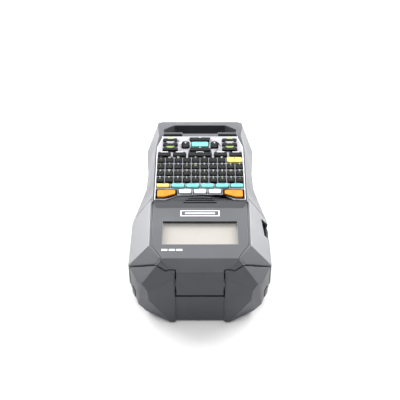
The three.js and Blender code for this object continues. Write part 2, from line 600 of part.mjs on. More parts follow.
const spool = (at, half) =>
  join(barX(at.radius, -half, half, at.y, at.z, 28), barX(2.5, -CASSETTE.x, CASSETTE.x, at.y, at.z)).subtract(
    barX(1.4, -30, 30, at.y, at.z, 6),
  );

const displayModule = () => deckPlate(DISPLAY.halfWidth + 1.4, windowStart - 1.4, windowEnd + 1.4, 3, 3.4);

const mainBoard = () =>
  join(
    box(-35, 35, -70, 8, 44.6, 46.2),
    box(-14, 2, -40, -24, 42.8, 44.7),
    box(12, 22, -20, -10, 43.2, 44.7),
    box(-28, -18, -14, -4, 41.4, 44.7),
    box(18, 30, -60, -52, 41.6, 44.7),
  );

function powerSocket() {
  const { y0, y1, z0, z1, face } = PORT;
  return box(-face, -42, y0 + 0.3, y1 - 0.3, z0 + 0.3, z1 - 0.3)
    .subtract(barX(2.9, -60, -46, y0 + 4.4, 33))
    .subtract(box(-60, -47, y1 - 8.4, y1 - 2, 31.6, 34.4))
    .add(barX(0.9, -face + 1, -45, y0 + 4.4, 33, 12));
}

function batteryPack() {
  const bevel = [[-64, 4.6], [18, 4.6], [20, 6.6], [20, 20.4], [18, 22.4], [-62, 22.4], [-64, 20.4]];
  return prismX(bevel, -22.5, 22.5).subtract(box(-9, 9, 15, 21, 8, 12));
}

const batteryContacts = () =>
  join(box(-14, 14, 24.8, 26, 6, 21.6), box(-5.4, -3.4, 20.6, 25, 9, 11), box(3.4, 5.4, 20.6, 25, 9, 11));

// ---- assembly ----
function mesh(name, body, material) {
  if (body.decompose().length !== 1) console.warn(`${name} has ${body.decompose().length} bodies`);
  const { vertProperties, triVerts, numProp } = body.getMesh();
  const g = new THREE.BufferGeometry();
  const position = new Float32Array((vertProperties.length / numProp) * 3);
  for (let i = 0; i < vertProperties.length / numProp; i++)
    for (let k = 0; k < 3; k++) position[i * 3 + k] = vertProperties[i * numProp + k];
  g.setAttribute("position", new THREE.BufferAttribute(position, 3));
  g.setIndex(Array.from(triVerts));
  const made = new THREE.Mesh(g, material);
  made.name = name;
  return made;
}

const shift = (body, x) => body.translate([x, 0, 0]);

const labelMaker = new THREE.Group();
labelMaker.name = "label_maker";
labelMaker.add(
  mesh("head_shell", headShell(), CHARCOAL),
  mesh("grip_shell", gripShell(), CHARCOAL),
  mesh("lower_casing", lowerCasing(), CHARCOAL),
  mesh("deck_panel", deckPanel(), CHARCOAL),
  mesh("cassette_door", cassetteDoor(), CHARCOAL),
  mesh("battery_door", batteryDoor(), CHARCOAL),
  mesh("door_latch_right", doorLatch(), DARK),
  mesh("door_latch_left", doorLatch().mirror([1, 0, 0]), DARK),
  mesh("door_hinge_pin", barX(DOOR_HINGE.pin, -36.2, 36.2, DOOR_HINGE.y, DOOR_HINGE.z), STEEL),
  mesh("foot_rail_right", footPrism(0, 0, 1.45), RUBBER),
  mesh("foot_rail_left", footPrism(0, 0, 1.45, true), RUBBER),
  mesh("display_window", deckPlate(DISPLAY.halfWidth + 1.7, windowStart - 1.3, windowEnd + 1.3, 1.2, 1.2), GLASS),
  mesh("display_module", displayModule(), LCD),
  mesh("keypad_bezel", keypadBezel(), SILVER),
  mesh("keypad_mat", keypadMat(), RUBBER),
  ...CAP_KEYS.map((key) => mesh(key.name, keyCap(key), key.material)),
  mesh("main_board", mainBoard(), BOARD),
  mesh("power_socket", powerSocket(), DARK),
  mesh("battery_pack", batteryPack(), CELL),
  mesh("battery_contacts", batteryContacts(), STEEL),
  mesh("cassette_case", cassetteCase(), NYLON),
  mesh("label_roll", spool(ROLL, 18), PAPER),
  mesh("ribbon_supply_spool", spool(SUPPLY, 18), RIBBON),
  mesh("ribbon_take_up_spool", spool(TAKEUP, 18), RIBBON),
  mesh("engine_frame", engineFrame(), STEEL),
  mesh("platen_roller", platenRoller(), RUBBER),
  mesh("platen_gear", gear(GEAR_TEETH.platen, PLATEN.y, PLATEN.z, ...GEAR_X, 2 + 0.05), NYLON),
  mesh("idler_gear", idlerGear(), NYLON),
  mesh("motor_pinion", motorPinion(), NYLON),
  mesh("stepper_motor", stepperMotor(), STEEL),
  mesh("print_head", printHead(), STEEL),
  mesh("cutter_blade", cutterBlade(), STEEL),
);

export default labelMaker;
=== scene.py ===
"""Looks of the hand-held label maker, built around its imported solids.

Every piece is made by an operator and rides on a body of the frame. Lengths are in metres, +Y points to
the head where the label comes out, and +Z points out of the keypad.
"""

import json
import math

import bpy
from mathutils import Matrix, Vector

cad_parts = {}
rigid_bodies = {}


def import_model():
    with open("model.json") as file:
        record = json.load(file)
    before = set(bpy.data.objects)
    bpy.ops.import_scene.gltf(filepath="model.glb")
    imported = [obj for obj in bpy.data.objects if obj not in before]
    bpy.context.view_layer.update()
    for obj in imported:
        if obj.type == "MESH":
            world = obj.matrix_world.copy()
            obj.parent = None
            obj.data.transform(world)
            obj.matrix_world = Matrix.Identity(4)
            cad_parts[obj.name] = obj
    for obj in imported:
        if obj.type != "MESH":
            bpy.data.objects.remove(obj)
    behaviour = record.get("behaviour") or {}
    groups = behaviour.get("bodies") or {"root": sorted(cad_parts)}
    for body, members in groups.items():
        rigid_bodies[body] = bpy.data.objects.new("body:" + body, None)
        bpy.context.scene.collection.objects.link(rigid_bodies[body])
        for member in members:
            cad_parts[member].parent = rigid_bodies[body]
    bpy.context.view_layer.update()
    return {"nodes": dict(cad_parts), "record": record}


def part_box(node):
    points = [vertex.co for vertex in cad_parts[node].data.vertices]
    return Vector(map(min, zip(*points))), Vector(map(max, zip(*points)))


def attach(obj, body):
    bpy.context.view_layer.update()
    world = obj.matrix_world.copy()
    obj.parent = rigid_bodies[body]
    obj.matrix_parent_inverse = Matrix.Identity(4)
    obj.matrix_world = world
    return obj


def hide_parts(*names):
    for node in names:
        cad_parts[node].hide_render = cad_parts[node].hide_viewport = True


bl_info = {
    "name": "Label maker",
    "version": (1, 0, 0),
    "blender": (4, 5, 0),
    "location": "3D View > Sidebar > Label maker",
    "description": "Builds the casing, keys, display and inner parts of a hand-held label maker",
    "category": "Object",
}

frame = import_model()
NODES = frame["nodes"]
MM = 0.001

CASING_NODES = ("head_shell", "grip_shell", "lower_casing", "deck_panel", "cassette_door", "battery_door")
SCREWS = ((28.4, -72.2), (-28.4, -72.2), (39.6, 4.0), (-39.6, 4.0))  # in plan, in mm
DECK_START = (14.0, 50.5)  # (y, z) of the deck's keypad end, in mm
DECK_RISE = 11.5 / 78.5
DECK_MARK_Y = 31.5
SMALL_MARK_GAP = 6.2  # from the display window's edge, in mm
WELD = 0.04  # in mm, for the casing mouldings
GRIP_WELD = 0.5  # wider, because the grip has slivers where its seam crosses the side
COLUMN_PITCH = 8.0
ROW_PITCH = 8.9
FIRST_ROW_Y = -36.7  # middle of the row of character keys farthest from the display, in mm
KEY_HOLE_ROWS = (-66, -58.5, -51.3, -44.6, -36.7, -27.8, -18.9, -10, -2, 5.7)  # middles, in mm
KEY_HOLES_END = 8.9  # the key holes end short of this Y, in mm
COUNTERBORE_RADIUS = 3.1
SCREW_HEIGHT = 2.35  # of the middle of a screw head over the table, in mm
SCREW_HEAD_RADIUS = 2.5
SIDE_LIGHT_POWER = 41
FRONT_LIGHT_POWER = 3
CAMERA_PLACE = (0, 0.58639, 0.605)
CAMERA_TILT = math.radians(44)
KEY_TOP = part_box("select_key")[1].z
BEZEL_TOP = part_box("keypad_bezel")[1].z


def body_of_node(node):
    for body, members in frame["record"]["behaviour"]["bodies"].items():
        if node in members:
            return body
    raise RuntimeError(f"no body holds {node}")


# ---- settings ----


def length(name, default_mm, description):
    return bpy.props.FloatProperty(
        name=name, description=description, default=default_mm * MM, unit="LENGTH", min=0.0, precision=5
    )


def colour(name, default, description):
    return bpy.props.FloatVectorProperty(
        name=name, description=description, default=default, subtype="COLOR", size=3, min=0.0, max=1.0
    )


class CasingSettings(bpy.types.PropertyGroup):
    edge: length("Edge radius", 0.38, "Radius of the casing's moulded edges")
    shade: colour("Casing colour", (0.041, 0.043, 0.052), "Colour of the textured casing plastic")
    rubber: colour("Rubber colour", (0.022, 0.022, 0.025), "Colour of the foot rails and the dark mouldings")


class KeypadSettings(bpy.types.PropertyGroup):
    corner: length("Key corner radius", 1.15, "Radius of the upright edges of a key")
    rim: length("Key rim radius", 0.5, "Radius of the edge round the top of a key")
    crown: length("Key crown", 0.28, "Height of the raised middle of a key")
    legend: length("Legend thickness", 0.04, "Thickness of the printed signs on the keys")
    dark: colour("Key colour", (0.062, 0.063, 0.070), "Colour of the dark keys")
    teal: colour("Teal colour", (0.42, 0.85, 0.80), "Colour of the function keys")
    yellow: colour("Yellow colour", (0.76, 0.73, 0.42), "Colour of the two yellow keys")
    orange: colour("Orange colour", (0.82, 0.50, 0.20), "Colour of the print keys")
    white: colour("White colour", (0.70, 0.70, 0.72), "Colour of the white keys")
    silver: colour("Bezel colour", (0.40, 0.40, 0.44), "Colour of the plate round the keys")


# ---- shader building ----


class Shade:
    """A number or colour in a material, with arithmetic that adds the nodes it needs."""

    def __init__(self, tree, socket):
        self.tree = tree
        self.socket = socket

    def _math(self, operation, first, second):
        return add_node(self.tree, "ShaderNodeMath", {"operation": operation}, {0: first, 1: second}).out()

    def __add__(self, other):
        return self._math("ADD", self, other)

    def __sub__(self, other):
        return self._math("SUBTRACT", self, other)

    def __rsub__(self, other):
        return self._math("SUBTRACT", other, self)

    def __mul__(self, other):
        return self._math("MULTIPLY", self, other)

    def __truediv__(self, other):
        return self._math("DIVIDE", self, other)

    __radd__ = __add__
    __rmul__ = __mul__

    def above(self, limit):
        return self._math("GREATER_THAN", self, limit)

    def limited(self):
        return add_node(self.tree, "ShaderNodeClamp", {}, {0: self}).out()

    def blend(self, low, high):
        """The colour `low` where this is 0 and `high` where it is 1."""
        return add_node(
            self.tree, "ShaderNodeMix", {"data_type": "RGBA"}, {0: self, 6: low, 7: high}
        ).out(2)


class Made:
    """A node that has been added, and its outputs as shades."""

    def __init__(self, tree, node):
        self.tree = tree
        self.node = node

    def out(self, key=0):
        return Shade(self.tree, self.node.outputs[key])


def add_node(tree, kind, settings, sockets):
    """Adds a node, sets its settings and then fills or links its sockets."""
    node = tree.nodes.new(kind)
    for name, value in settings.items():
        if name == "stops":
            ramp = node.color_ramp
            while len(ramp.elements) < len(value):
                ramp.elements.new(0.5)
            for element, (position, shade) in zip(ramp.elements, value):
                element.position = position
                element.color = (*shade, 1.0)
        else:
            setattr(node, name, value)
    for key, value in sockets.items():
        if isinstance(value, Shade):
            tree.links.new(value.socket, node.inputs[key])
        elif isinstance(value, tuple) and len(value) == 3 and node.inputs[key].type == "RGBA":
            node.inputs[key].default_value = (*value, 1.0)
        else:
            node.inputs[key].default_value = value
    return Made(tree, node)


class Finish:
    """A material on Object coordinates with one principled shader."""

    def __init__(self, name, **constants):
        self.material = bpy.data.materials.new(name)
        self.material.use_nodes = True
        self.tree = self.material.node_tree
        self.tree.nodes.clear()
        self.shader = self.add("ShaderNodeBsdfPrincipled").node
        output = self.add("ShaderNodeOutputMaterial").node
        self.tree.links.new(self.shader.outputs[0], output.inputs[0])
        self.place = self.add("ShaderNodeTexCoord").out("Object")
        for key, value in constants.items():
            self.set(key.replace("_", " "), value)

    def add(self, kind, settings=None, **sockets):
        return add_node(self.tree, kind, settings or {}, {k.replace("_", " "): v for k, v in sockets.items()})

    def set(self, key, value):
        socket = self.shader.inputs[key]
        if isinstance(value, Shade):
            self.tree.links.new(value.socket, socket)
        elif isinstance(value, (tuple, list)) or hasattr(value, "__len__"):
            socket.default_value = (*value[:3], 1.0)
        else:
            socket.default_value = value

    def noise(self, size_mm, detail=2.0, stretch=None):
        place = self.place
        if stretch:
            place = self.add("ShaderNodeMapping", Vector=place, Scale=stretch).out()
        return self.add(
            "ShaderNodeTexNoise", Vector=place, Scale=1.0 / (size_mm * MM), Detail=detail, Roughness=0.55
        ).out(0)

    def cells(self, size_mm):
        return self.add(
            "ShaderNodeTexVoronoi", {"feature": "SMOOTH_F1"}, Vector=self.place, Scale=1.0 / (size_mm * MM)
        ).out(0)

    def along(self, axis):
        return self.add("ShaderNodeSeparateXYZ", Vector=self.place).out(axis)

    def bump(self, height, depth_mm, strength=1.0):
        made = self.add("ShaderNodeBump", Height=height, Distance=depth_mm * MM, Strength=strength)
        self.set("Normal", made.out(0))


def darker(shade, factor):
    return tuple(min(1.0, c * factor) for c in shade[:3])


def textured_plastic(name, shade, roughness, grain_mm=0.55, grain_depth_mm=0.02):
    """Moulded plastic with a spark-eroded grain, faint mottling and rubbed patches."""
    f = Finish(name)
    grain = f.noise(grain_mm, 3.0)
    fine = f.cells(grain_mm * 0.6)
    mottle = f.noise(14.0, 3.0)
    rubbed = ((f.noise(38.0, 4.0) - 0.52) * 6.0).limited()
    tone = (mottle * 0.5 + grain * 0.5).blend(darker(shade, 0.86), darker(shade, 1.14))
    f.set("Base Color", (rubbed * 0.25).blend(tone, darker(shade, 1.35)))
    f.set("Roughness", roughness + (grain - 0.5) * 0.16 - rubbed * 0.05)
    f.bump(grain * 0.6 + fine * 0.4, grain_depth_mm)
    return f.material


def key_rubber(name, shade, painted_shade_wall_colour, roughness=0.5):
    """Soft-touch key moulding: a lighter top with a slight sheen, over walls darkened with painted shade."""
    f = Finish(name, Specular_IOR_Level=0.16, Coat_Roughness=0.38)
    grain = f.noise(0.22, 2.0)
    cloud = f.noise(5.0, 2.0)
    height = ((f.along("Z") - (KEY_TOP - 1.5 * MM)) / (1.2 * MM)).limited()
    tone = (cloud * 0.7 + grain * 0.3).blend(darker(shade, 0.9), darker(shade, 1.1))
    # Painted shade: the base colour runs from the darker wall colour at the foot of each key up to the top
    # colour.
    f.set("Base Color", height.blend(painted_shade_wall_colour, tone))
    f.set("Roughness", roughness + (grain - 0.5) * 0.2)
    f.set("Coat Weight", height * 0.3)
    f.bump(grain, 0.008)
    return f.material


def printed(name, shade):
    f = Finish(name)
    f.set("Base Color", f.noise(0.6).blend(darker(shade, 0.9), shade))
    f.set("Roughness", 0.5 + (f.noise(0.3) - 0.5) * 0.2)
    return f.material


def satin_plate(name, shade):
    """Silver-lacquered plate with a fine fleck."""
    f = Finish(name, Coat_Roughness=0.2)
    fleck = f.cells(0.18)
    cloud = f.noise(18.0, 3.0)
    f.set("Base Color", (fleck * 0.6 + cloud * 0.4).blend(darker(shade, 0.86), darker(shade, 1.16)))
    f.set("Metallic", 0.1 + fleck * 0.2)
    f.set("Roughness", 0.44 + cloud * 0.08)
    f.set("Coat Weight", 0.04 + cloud * 0.06)
    f.bump(fleck, 0.004)
    return f.material


def machined_steel(name, shade=(0.52, 0.53, 0.55)):
    f = Finish(name)
    lines = f.noise(0.5, 3.0, stretch=(0.06, 1.0, 1.0))
    f.set("Base Color", lines.blend(darker(shade, 0.8), shade))
    f.set("Metallic", 0.92 + lines * 0.08)
    f.set("Roughness", 0.24 + lines * 0.2)
    f.bump(lines, 0.006)
    return f.material


def label_paper(name):
    f = Finish(name)
    layers = f.noise(0.35, 2.0, stretch=(1.0, 0.05, 0.05))
    f.set("Base Color", layers.blend((0.70, 0.68, 0.62), (0.88, 0.86, 0.81)))
    f.set("Roughness", 0.66 + layers * 0.2)
    f.bump(layers, 0.03)
    return f.material


def circuit_board(name):
    """Solder mask over copper tracks on a square grid."""
    f = Finish(name)
    tracks = f.add("ShaderNodeTexBrick", Vector=f.place, Scale=260.0, Mortar_Size=0.035).out("Fac")
    mask = (tracks * (f.noise(6.0) - 0.42).above(0.0)).limited()
    f.set("Base Color", mask.blend((0.012, 0.14, 0.05), (0.05, 0.30, 0.12)))
    f.set("Roughness", 0.32 + f.noise(2.0) * 0.1)
    f.bump(mask, 0.03)
    return f.material


def display_glass(name):
    f = Finish(name, Specular_IOR_Level=0.12)
    haze = f.noise(16.0, 3.0)
    f.set("Base Color", haze.blend((0.30, 0.31, 0.31), (0.36, 0.37, 0.36)))
    f.set("Alpha", 0.05 + haze * 0.03)
    f.set("Roughness", 0.16 + haze * 0.08)
    return f.material


def display_face(name, spacing_mm=0.36):
    """Unlit reflective display: cream, with the faint grid of its dots."""
    f = Finish(name, Specular_IOR_Level=0.1)
    grid = f.add("ShaderNodeTexChecker", Vector=f.place, Scale=1.0 / (spacing_mm * MM)).out("Fac")
    cloud = f.noise(30.0, 2.0)
    tone = cloud.blend((0.39, 0.365, 0.335), (0.425, 0.40, 0.37))
    f.set("Base Color", (grid * 0.05).blend(tone, (0.40, 0.40, 0.36)))
    f.set("Roughness", 0.58 + cloud * 0.1)
    f.bump(grid, 0.004)
    return f.material


# ---- modelling ----


def only(obj):
    """Makes one object the selected and active one."""
    bpy.ops.object.select_all(action="DESELECT")
    obj.select_set(True)
    bpy.context.view_layer.objects.active = obj


def set_material(obj, material):
    obj.data.materials.clear()
    obj.data.materials.append(material)


def copy_of(node, name, cuts=(), weld=0.002):
    """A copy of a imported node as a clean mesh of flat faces.

    The cuts are (axis, place in mm) planes that keep an edge through the faces they cross, so that no face
    runs all round a hole.
    """
    only(NODES[node])
    bpy.ops.object.duplicate()
    piece = bpy.context.view_layer.objects.active
    piece.name = name
    piece.data.name = name
    bpy.ops.object.parent_clear(type="CLEAR")
    for key in list(piece.keys()):
        if key.startswith("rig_"):
            del piece[key]
    bpy.ops.object.mode_set(mode="EDIT")
    bpy.ops.mesh.select_all(action="SELECT")
    bpy.ops.mesh.remove_doubles(threshold=weld * MM)
    for axis, place in cuts:
        normal = [float(axis == other) for other in "xyz"]
        bpy.ops.mesh.select_all(action="SELECT")
        bpy.ops.mesh.bisect(plane_co=[place * MM * part for part in normal], plane_no=normal)
        bpy.ops.mesh.mark_seam()
    bpy.ops.mesh.select_all(action="SELECT")
    bpy.ops.mesh.dissolve_limited(angle_limit=math.radians(0.5), delimit={"SEAM"})
    bpy.ops.mesh.select_all(action="DESELECT")
    bpy.ops.object.mode_set(mode="OBJECT")
    return piece


def bevel_edges(piece, chosen, width, segments):
    """Bevels the sharp edges for which chosen(first end, second end) is true."""
    only(piece)
    bpy.ops.object.mode_set(mode="EDIT")
    bpy.ops.mesh.select_mode(type="EDGE")
    bpy.ops.mesh.select_all(action="DESELECT")
    bpy.ops.mesh.edges_select_sharp(sharpness=math.radians(12.0))
    bpy.ops.object.mode_set(mode="OBJECT")
    found = 0
    corner = piece.data.vertices
    for edge in piece.data.edges:
        a, b = (corner[i].co for i in edge.vertices)
        edge.select = edge.select and chosen(a, b)
        found += edge.select
    bpy.ops.object.mode_set(mode="EDIT")
    if found:
        bpy.ops.mesh.bevel(offset=width, segments=segments, clamp_overlap=True)
    bpy.ops.object.mode_set(mode="OBJECT")


def round_over(piece, width, segments=3, angle=22.0, clamp=True):
    """A bevel modifier over every sharp edge, applied, with flat faces kept flat between them."""
    only(piece)
    bevel = piece.modifiers.new("edges", "BEVEL")
    bevel.width = width
    bevel.segments = segments
    bevel.limit_method = "ANGLE"
    bevel.angle_limit = math.radians(angle)
    bevel.use_clamp_overlap = clamp
    bevel.miter_outer = "MITER_ARC"
    bevel.harden_normals = False
    bpy.ops.object.modifier_apply(modifier=bevel.name)
    bpy.ops.object.shade_smooth_by_angle(angle=math.radians(40.0))
    weights = piece.modifiers.new("normals", "WEIGHTED_NORMAL")
    weights.keep_sharp = True
    bpy.ops.object.modifier_apply(modifier=weights.name)


def stands_for(piece, node, material):
    """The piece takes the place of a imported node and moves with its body."""
    set_material(piece, material)
    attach(piece, body_of_node(node))
    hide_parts(node)


def settle(piece):
    """Puts the piece's place into its mesh."""
    only(piece)
    bpy.ops.object.transform_apply(location=True, rotation=True, scale=True)


def select_faces(piece, chosen):
    bpy.ops.object.mode_set(mode="EDIT")
    bpy.ops.mesh.select_mode(type="FACE")
    bpy.ops.mesh.select_all(action="DESELECT")
    bpy.ops.object.mode_set(mode="OBJECT")
    found = 0
    for face in piece.data.polygons:
        if chosen(face.center, face.normal):
            face.select = True
            found += 1
    bpy.ops.object.mode_set(mode="EDIT")
    return found


def boundary(move=None):
    """Selects the open rim of the mesh in edit mode and moves it."""
    bpy.ops.mesh.select_mode(type="EDGE")
    bpy.ops.mesh.select_all(action="DESELECT")
    bpy.ops.mesh.select_non_manifold(extend=False)
    if move:
        bpy.ops.transform.translate(value=move)


def widen(spread, drop):
    """Adds a ring of faces round the shape and lowers its outer rim."""
    bpy.ops.mesh.select_mode(type="FACE")
    bpy.ops.mesh.select_all(action="SELECT")
    bpy.ops.mesh.inset(thickness=spread, depth=0, use_outset=True, use_boundary=True)
    boundary((0, 0, -drop))


def key_shape(piece, keypad, top, foot):
    """Turns the flat tops of one or more keys into crowned caps with rounded corners, down to `foot`."""
    only(piece)
    select_faces(piece, lambda centre, normal: not (normal.z > 0.99 and centre.z > top - 1e-5))
    bpy.ops.mesh.delete(type="FACE")
    bpy.ops.mesh.select_mode(type="VERT")
    bpy.ops.mesh.select_all(action="SELECT")
    bpy.ops.mesh.bevel(affect="VERTICES", offset=keypad.corner, segments=4)
    rim = keypad.rim
    for spread, drop in ((0.30, 0.06), (0.26, 0.22), (0.16, 0.36)):
        widen(rim * spread, rim * drop)
    widen(0.2 * MM, 1.3 * MM)
    boundary()
    depth = top - rim * 0.64 - 1.3 * MM - foot
    bpy.ops.mesh.extrude_edges_move(TRANSFORM_OT_translate={"value": (0, 0, -depth)})
    boundary()
    bpy.ops.mesh.fill_holes(sides=0)
    bpy.ops.object.mode_set(mode="OBJECT")
    if select_faces(piece, lambda centre, normal: abs(normal.z) > 0.99 and centre.z > top - 1e-5):
        bpy.ops.mesh.inset(thickness=0.45 * MM, depth=keypad.crown * 0.5, use_individual=True)
        bpy.ops.mesh.inset(thickness=0.45 * MM, depth=keypad.crown * 0.35, use_individual=True)
        bpy.ops.mesh.inset(thickness=0.35 * MM, depth=keypad.crown * 0.15, use_individual=True)
    bpy.ops.mesh.select_all(action="SELECT")
    bpy.ops.mesh.normals_make_consistent(inside=False)
    bpy.ops.object.mode_set(mode="OBJECT")
    bpy.ops.object.shade_smooth_by_angle(angle=math.radians(40.0))


def joined(pieces, name):
    bpy.ops.object.select_all(action="DESELECT")
    for piece in pieces:
        piece.select_set(True)
    bpy.context.view_layer.objects.active = pieces[0]
    if len(pieces) > 1:
        bpy.ops.object.join()
    made = bpy.context.view_layer.objects.active
    made.name = name
    made.data.name = name
    return made


def sign(text, x, y, z, size, thickness):
    """A printed sign lying on a key, read from the side away from the head."""
    bpy.ops.object.text_add(location=(x, y, z))
    letter = bpy.context.view_layer.objects.active
    letter.data.body = text
    letter.data.size = size
    letter.data.extrude = thickness / 2
    letter.data.resolution_u = 3
    letter.data.align_x = "CENTER"
    letter.data.align_y = "CENTER"
    bpy.ops.object.convert(target="MESH")
    settle(letter)
    return letter


def plate(x, y, z, width, depth, thickness):
    """A thin printed bar."""
    bpy.ops.mesh.primitive_cube_add(size=1, location=(x, y, z), scale=(width, depth, thickness))
    bar = bpy.context.view_layer.objects.active
    settle(bar)
    return bar


def arrow(x, y, z, size, turn, thickness):
    """A printed triangle pointing along +Y turned by `turn` degrees."""
    bpy.ops.mesh.primitive_cylinder_add(vertices=3, radius=size, depth=thickness, location=(x, y, z))
    tip = bpy.context.view_layer.objects.active
    tip.rotation_euler.z = math.radians(turn)
    settle(tip)
    return tip


def tube(x, y, z, radius, depth, sides=32):
    """A solid upright disc, used to cut holes and to make screw heads."""
    bpy.ops.object.select_all(action="DESELECT")
    bpy.ops.mesh.primitive_cylinder_add(vertices=sides, radius=radius, depth=depth, location=(x, y, z))
    made = bpy.context.view_layer.objects.active
    settle(made)
    return made


def carve(piece, cutter):
    """Takes the cutter out of the piece and removes the cutter."""
    only(piece)
    cut = piece.modifiers.new("cut", "BOOLEAN")
    cut.object = cutter
    cut.solver = "EXACT"
    bpy.ops.object.modifier_apply(modifier=cut.name)
    only(cutter)
    bpy.ops.object.delete()


def ring(x, y, z, radius, thickness, sides=28):
    """A printed circle, low enough to lie on a key."""
    bpy.ops.mesh.primitive_torus_add(
        location=(x, y, z),
        major_radius=radius,
        minor_radius=thickness,
        major_segments=sides,
        minor_segments=8,
    )
    made = bpy.context.view_layer.objects.active
    made.scale.z = 0.25
    settle(made)
    return made


# ---- operators ----


class StageOperator(bpy.types.Operator):
    """Lay the floor, light the scene and place the camera"""

    bl_idname = "labelmaker.stage"
    bl_label = "Stage"

    def execute(self, context):
        bpy.ops.object.select_all(action="DESELECT")
        bpy.ops.mesh.primitive_plane_add(size=8.0, location=(0, 0, 0))
        floor = context.view_layer.objects.active
        floor.name = "floor"
        f = Finish("pale_floor")
        cloud = f.noise(300.0, 1.0)
        f.set("Base Color", cloud.blend((0.90, 0.90, 0.90), (0.92, 0.92, 0.92)))
        f.set("Roughness", 0.8)
        set_material(floor, f.material)

        context.scene.view_settings.view_transform = "Standard"
        world = bpy.data.worlds.new("studio")
        context.scene.world = world
        world.use_nodes = True
        world.node_tree.nodes["Background"].inputs[0].default_value = (1.0, 1.0, 1.0, 1.0)
        world.node_tree.nodes["Background"].inputs[1].default_value = 0.30

        def softbox(name, place, target, width, height, power):
            bpy.ops.object.light_add(type="AREA", location=place)
            lamp = context.view_layer.objects.active
            lamp.name = name
            lamp.data.shape = "RECTANGLE"
            lamp.data.size = width
            lamp.data.size_y = height
            lamp.data.energy = power
            lamp.rotation_euler = (Vector(target) - Vector(place)).to_track_quat("-Z", "Y").to_euler()

        softbox("side_light_right", (0.86, -0.80, 0.26), (0, 0, 0.03), 0.9, 0.7, SIDE_LIGHT_POWER)
        softbox("side_light_left", (-0.86, -0.80, 0.26), (0, 0, 0.03), 0.9, 0.7, SIDE_LIGHT_POWER)
        softbox("rear_light", (0, -1.3, 0.62), (0, 0, 0.03), 1.2, 0.5, 9)
        softbox("top_light", (0, 0.0, 1.3), (0, 0, 0.0), 0.9, 1.3, 12)
        softbox("front_light_right", (1.1, 0.9, 0.3), (0, 0, 0.03), 0.7, 0.5, FRONT_LIGHT_POWER)
        softbox("front_light_left", (-1.1, 0.9, 0.3), (0, 0, 0.03), 0.7, 0.5, FRONT_LIGHT_POWER)

        bpy.ops.object.camera_add(location=CAMERA_PLACE)
        camera = context.view_layer.objects.active
        camera.name = "camera"
        camera.data.sensor_width = 36
        camera.data.lens = 81
        back = Vector((0, math.cos(CAMERA_TILT), math.sin(CAMERA_TILT)))
        up = Vector((0, -math.sin(CAMERA_TILT), math.cos(CAMERA_TILT)))
        right = up.cross(back)
        camera.rotation_euler = Matrix((right, up, back)).transposed().to_euler()
        context.scene.camera = camera
        return {"FINISHED"}


class CasingOperator(bpy.types.Operator):
    """Build the casing mouldings with rounded edges"""

    bl_idname = "labelmaker.casing"
    bl_label = "Casing"

    CUTS = {
        "head_shell": (("x", 0), ("y", 34.5), ("y", 58.6)),
        "grip_shell": (("x", 0), ("y", -30), ("y", -88)),
        "lower_casing": (("x", 0), ("y", -88), ("y", -20), ("y", 33.4)),
        "deck_panel": (("x", 0), ("y", 58.6)),
        "cassette_door": (("x", 0), ("y", 33.4), ("y", 87)),
        "battery_door": (("x", 0), ("y", -70)),
    }

    def execute(self, context):
        casing = context.scene.label_maker_casing
        plastic = textured_plastic("charcoal_plastic", casing.shade, 0.44)
        smoother = textured_plastic("charcoal_deck_plastic", casing.shade, 0.40, 0.4, 0.012)
        for node in CASING_NODES:
            weld = GRIP_WELD if node == "grip_shell" else WELD
            piece = copy_of(node, node + "_moulding", self.CUTS[node], weld)
            if node in ("grip_shell", "deck_panel"):
                self.matched_halves(piece, node == "deck_panel")
            if node == "lower_casing":
                holes = [tube(x * MM, y * MM, 0.9 * MM, COUNTERBORE_RADIUS * MM, 4 * MM) for x, y in SCREWS]
                carve(piece, joined(holes, "counterbores"))
            round_over(piece, casing.edge if node != "deck_panel" else casing.edge * 0.7, clamp=False)
            stands_for(piece, node, smoother if node == "deck_panel" else plastic)
        return {"FINISHED"}

    @staticmethod
    def matched_halves(piece, keep_left):
        """Makes one half a mirror image of the other, so that both take the same bevel."""
        only(piece)
        halves = piece.modifiers.new("halves", "MIRROR")
        halves.use_bisect_axis[0] = True
        halves.use_bisect_flip_axis[0] = keep_left
        halves.merge_threshold = 0.005 * MM
        bpy.ops.object.modifier_apply(modifier=halves.name)


